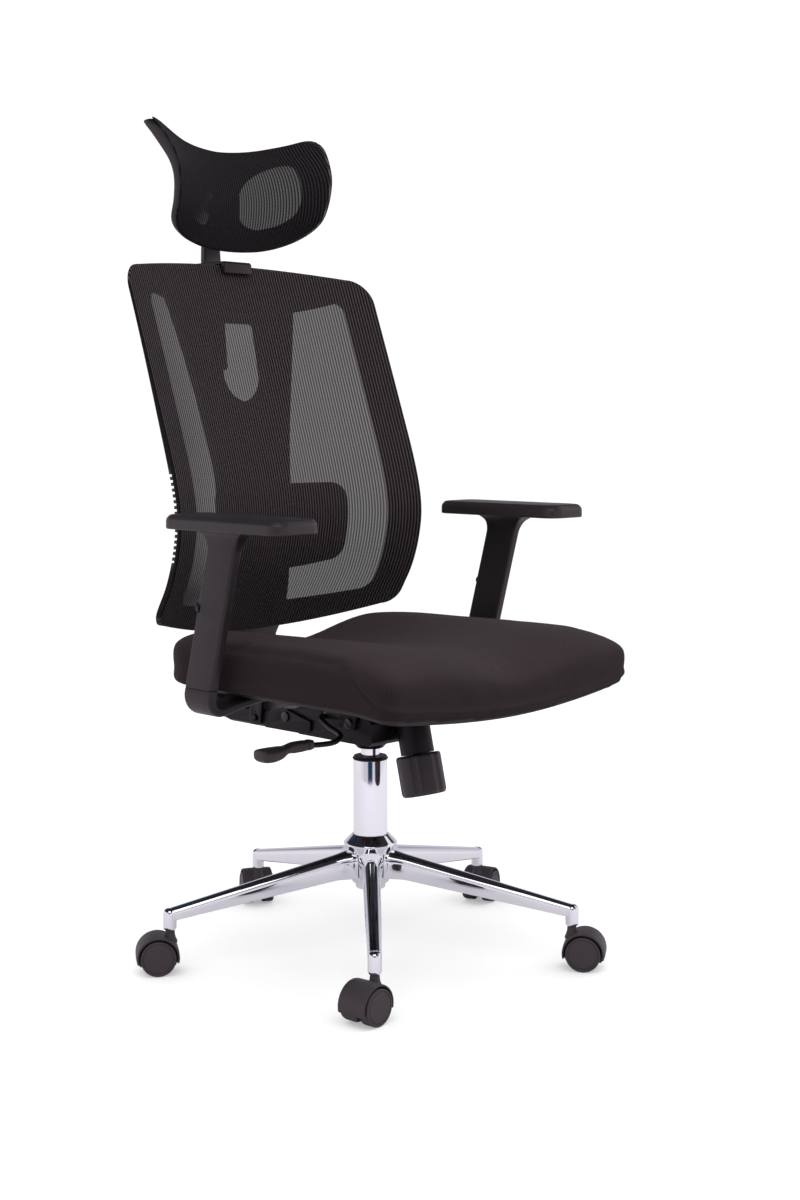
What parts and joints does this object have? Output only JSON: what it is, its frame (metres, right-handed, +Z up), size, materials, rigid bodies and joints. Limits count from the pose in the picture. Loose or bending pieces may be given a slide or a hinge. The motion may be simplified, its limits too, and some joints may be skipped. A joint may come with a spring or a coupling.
{
  "type": "swivel office chair",
  "caption": "High-backed swivel office chair with mesh back and headrest, padded seat, T-shaped armrests, gas lift and chromed castor base.",
  "frame": {"origin": "on the floor, under the middle of the chair's bounding box; the gas lift's axis stands 12 mm towards -X and 27 mm towards -Y of it", "axes": "+Z up; the sitter faces -Y; the sitter's left hand is at +X"},
  "size_m": [0.6721, 0.6867, 1.216],
  "materials": {
    "chrome": "polished chrome plate",
    "steel": "bare machined steel",
    "black_steel": "black powder coat",
    "black_plastic": "fine moulded grain",
    "castor_plastic": "moulded nylon",
    "soft_plastic": "satin moulded polypropylene",
    "seat_fabric": "fine woven polyester over foam",
    "mesh_cloth": "ribbed knitted mesh, see-through"
  },
  "bodies": {
    "base": {"star_base": "chrome", "outer_tube": "chrome", "guide_bush": "black_plastic", "castor_stem_1": "steel", "castor_stem_2": "steel", "castor_stem_3": "steel", "castor_stem_4": "steel", "castor_stem_5": "steel"},
    "castor_1": {"castor_hood_1": "castor_plastic"},
    "wheel_left_1": {"wheel_left_1": "castor_plastic"},
    "wheel_right_1": {"wheel_right_1": "castor_plastic"},
    "castor_2": {"castor_hood_2": "castor_plastic"},
    "wheel_left_2": {"wheel_left_2": "castor_plastic"},
    "wheel_right_2": {"wheel_right_2": "castor_plastic"},
    "castor_3": {"castor_hood_3": "castor_plastic"},
    "wheel_left_3": {"wheel_left_3": "castor_plastic"},
    "wheel_right_3": {"wheel_right_3": "castor_plastic"},
    "castor_4": {"castor_hood_4": "castor_plastic"},
    "wheel_left_4": {"wheel_left_4": "castor_plastic"},
    "wheel_right_4": {"wheel_right_4": "castor_plastic"},
    "castor_5": {"castor_hood_5": "castor_plastic"},
    "wheel_left_5": {"wheel_left_5": "castor_plastic"},
    "wheel_right_5": {"wheel_right_5": "castor_plastic"},
    "spindle": {"piston_rod": "steel", "thrust_bearing": "steel", "retaining_clip": "steel"},
    "carriage": {"gas_cylinder": "chrome", "mechanism_housing": "black_steel", "front_pin": "steel", "main_pin": "steel", "tension_sleeve": "black_steel", "tension_spring": "steel"},
    "release_button": {"release_button": "black_steel"},
    "recliner": {"back_bar": "black_steel", "back_spine": "black_plastic", "back_frame": "black_plastic", "back_mesh": "mesh_cloth", "headrest_bracket": "black_plastic"},
    "seat": {"seat_plate": "black_steel", "seat_pan": "black_plastic", "seat_cushion": "seat_fabric", "arm_bracket_right": "soft_plastic", "arm_bracket_left": "soft_plastic"},
    "lumbar": {"lumbar_pad": "soft_plastic"},
    "headrest_stem": {"headrest_post": "black_steel", "headrest_pin": "steel"},
    "headrest": {"headrest_frame": "black_plastic", "headrest_mesh": "mesh_cloth"},
    "knob": {"tension_knob": "black_plastic"},
    "lever": {"lever_yoke": "steel"},
    "lever_handle": {"lever_rod": "steel", "lever_paddle": "black_plastic"},
    "arm_right": {"arm_sleeve_right": "soft_plastic", "arm_pad_right": "soft_plastic"},
    "arm_button_right": {"arm_button_right": "black_plastic"},
    "arm_left": {"arm_sleeve_left": "soft_plastic", "arm_pad_left": "soft_plastic"},
    "arm_button_left": {"arm_button_left": "black_plastic"}
  },
  "joints": [
    {"name": "castor_1_swivel", "type": "hinge", "parent": "base", "child": "castor_1", "pos_m": [-0.21851, -0.24461, 0.04], "axis": [0, 0, 1], "continuous": true},
    {"name": "wheel_left_1_spin", "type": "hinge", "parent": "castor_1", "child": "wheel_left_1", "pos_m": [-0.23644, -0.24612, 0.025], "axis": [0.0837, -0.9965, 0], "continuous": true},
    {"name": "wheel_right_1_spin", "type": "hinge", "parent": "castor_1", "child": "wheel_right_1", "pos_m": [-0.23644, -0.24612, 0.025], "axis": [0.0837, -0.9965, 0], "continuous": true},
    {"name": "castor_2_swivel", "type": "hinge", "parent": "base", "child": "castor_2", "pos_m": [0.13115, -0.29064, 0.04], "axis": [0, 0, 1], "continuous": true},
    {"name": "wheel_left_2_spin", "type": "hinge", "parent": "castor_2", "child": "wheel_left_2", "pos_m": [0.1409, -0.30578, 0.025], "axis": [0.8406, 0.5417, 0], "continuous": true},
    {"name": "wheel_right_2_spin", "type": "hinge", "parent": "castor_2", "child": "wheel_right_2", "pos_m": [0.1409, -0.30578, 0.025], "axis": [0.8406, 0.5417, 0], "continuous": true},
    {"name": "castor_3_swivel", "type": "hinge", "parent": "base", "child": "castor_3", "pos_m": [0.28298, 0.02767, 0.04], "axis": [0, 0, 1], "continuous": true},
    {"name": "wheel_left_3_spin", "type": "hinge", "parent": "castor_3", "child": "wheel_left_3", "pos_m": [0.29978, 0.03412, 0.025], "axis": [-0.3584, 0.9336, 0], "continuous": true},
    {"name": "wheel_right_3_spin", "type": "hinge", "parent": "castor_3", "child": "wheel_right_3", "pos_m": [0.29978, 0.03412, 0.025], "axis": [-0.3584, 0.9336, 0], "continuous": true},
    {"name": "castor_4_swivel", "type": "hinge", "parent": "base", "child": "castor_4", "pos_m": [0.02716, 0.27043, 0.04], "axis": [0, 0, 1], "continuous": true},
    {"name": "wheel_left_4_spin", "type": "hinge", "parent": "castor_4", "child": "wheel_left_4", "pos_m": [0.03643, 0.28586, 0.025], "axis": [-0.8572, 0.515, 0], "continuous": true},
    {"name": "wheel_right_4_spin", "type": "hinge", "parent": "castor_4", "child": "wheel_right_4", "pos_m": [0.03643, 0.28586, 0.025], "axis": [-0.8572, 0.515, 0], "continuous": true},
    {"name": "castor_5_swivel", "type": "hinge", "parent": "base", "child": "castor_5", "pos_m": [-0.28278, 0.10215, 0.04], "axis": [0, 0, 1], "continuous": true},
    {"name": "wheel_left_5_spin", "type": "hinge", "parent": "castor_5", "child": "wheel_left_5", "pos_m": [-0.2977, 0.11222, 0.025], "axis": [-0.5592, -0.829, 0], "continuous": true},
    {"name": "wheel_right_5_spin", "type": "hinge", "parent": "castor_5", "child": "wheel_right_5", "pos_m": [-0.2977, 0.11222, 0.025], "axis": [-0.5592, -0.829, 0], "continuous": true},
    {"name": "seat_swivel", "type": "hinge", "parent": "base", "child": "spindle", "pos_m": [-0.012, -0.027, 0.15], "axis": [0, 0, 1], "continuous": true},
    {"name": "seat_height", "type": "slide", "parent": "spindle", "child": "carriage", "axis": [0, 0, 1], "range_m": [0, 0.1]},
    {"name": "back_recline", "type": "hinge", "parent": "carriage", "child": "recliner", "pos_m": [-0.012, 0.088, 0.342], "axis": [-1, 0, 0], "range_deg": [0, 20], "stiffness_Nm_per_rad": 60, "springref_deg": -17.19},
    {"name": "seat_tilt", "type": "hinge", "parent": "carriage", "child": "seat", "pos_m": [-0.012, -0.048, 0.348], "axis": [-1, 0, 0], "range_deg": [0, 6.6]},
    {"name": "lumbar_height", "type": "slide", "parent": "recliner", "child": "lumbar", "axis": [0, 0, 1], "range_m": [-0.012, 0.02]},
    {"name": "headrest_height", "type": "slide", "parent": "recliner", "child": "headrest_stem", "axis": [0, 0.0854, 0.9963], "range_m": [0, 0.05]},
    {"name": "headrest_tilt", "type": "hinge", "parent": "headrest_stem", "child": "headrest", "pos_m": [-0.012, 0.304, 1.102], "axis": [-1, 0, 0], "range_deg": [-15, 15]},
    {"name": "tension_knob_turn", "type": "hinge", "parent": "carriage", "child": "knob", "pos_m": [-0.012, -0.137, 0.249], "axis": [0, 0.2368, 0.9715], "continuous": true},
    {"name": "lever_lift", "type": "hinge", "parent": "carriage", "child": "lever", "pos_m": [-0.034, 0.01, 0.351], "axis": [0, 1, 0], "range_deg": [0, 8], "stiffness_Nm_per_rad": 2},
    {"name": "lever_pull", "type": "slide", "parent": "lever", "child": "lever_handle", "axis": [-1, 0, 0], "range_m": [0, 0.012]},
    {"name": "release_button_press", "type": "slide", "parent": "carriage", "child": "release_button", "axis": [0, 0, -1], "range_m": [0, 0.004], "stiffness_N_per_m": 300},
    {"name": "arm_height_right", "type": "slide", "parent": "seat", "child": "arm_right", "axis": [0, -0.2554, 0.9668], "range_m": [0, 0.06]},
    {"name": "arm_button_press_right", "type": "slide", "parent": "arm_right", "child": "arm_button_right", "axis": [0, -0.9668, -0.2554], "range_m": [0, 0.002], "stiffness_N_per_m": 400},
    {"name": "arm_height_left", "type": "slide", "parent": "seat", "child": "arm_left", "axis": [0, -0.2554, 0.9668], "range_m": [0, 0.06]},
    {"name": "arm_button_press_left", "type": "slide", "parent": "arm_left", "child": "arm_button_left", "axis": [0, -0.9668, -0.2554], "range_m": [0, 0.002], "stiffness_N_per_m": 400}
  ],
  "couplings": [
    {"joint": "seat_tilt", "follows": "back_recline", "ratio": 0.32},
    {"joint": "release_button_press", "follows": "lever_lift", "m_per_rad": 0.0265}
  ]
}
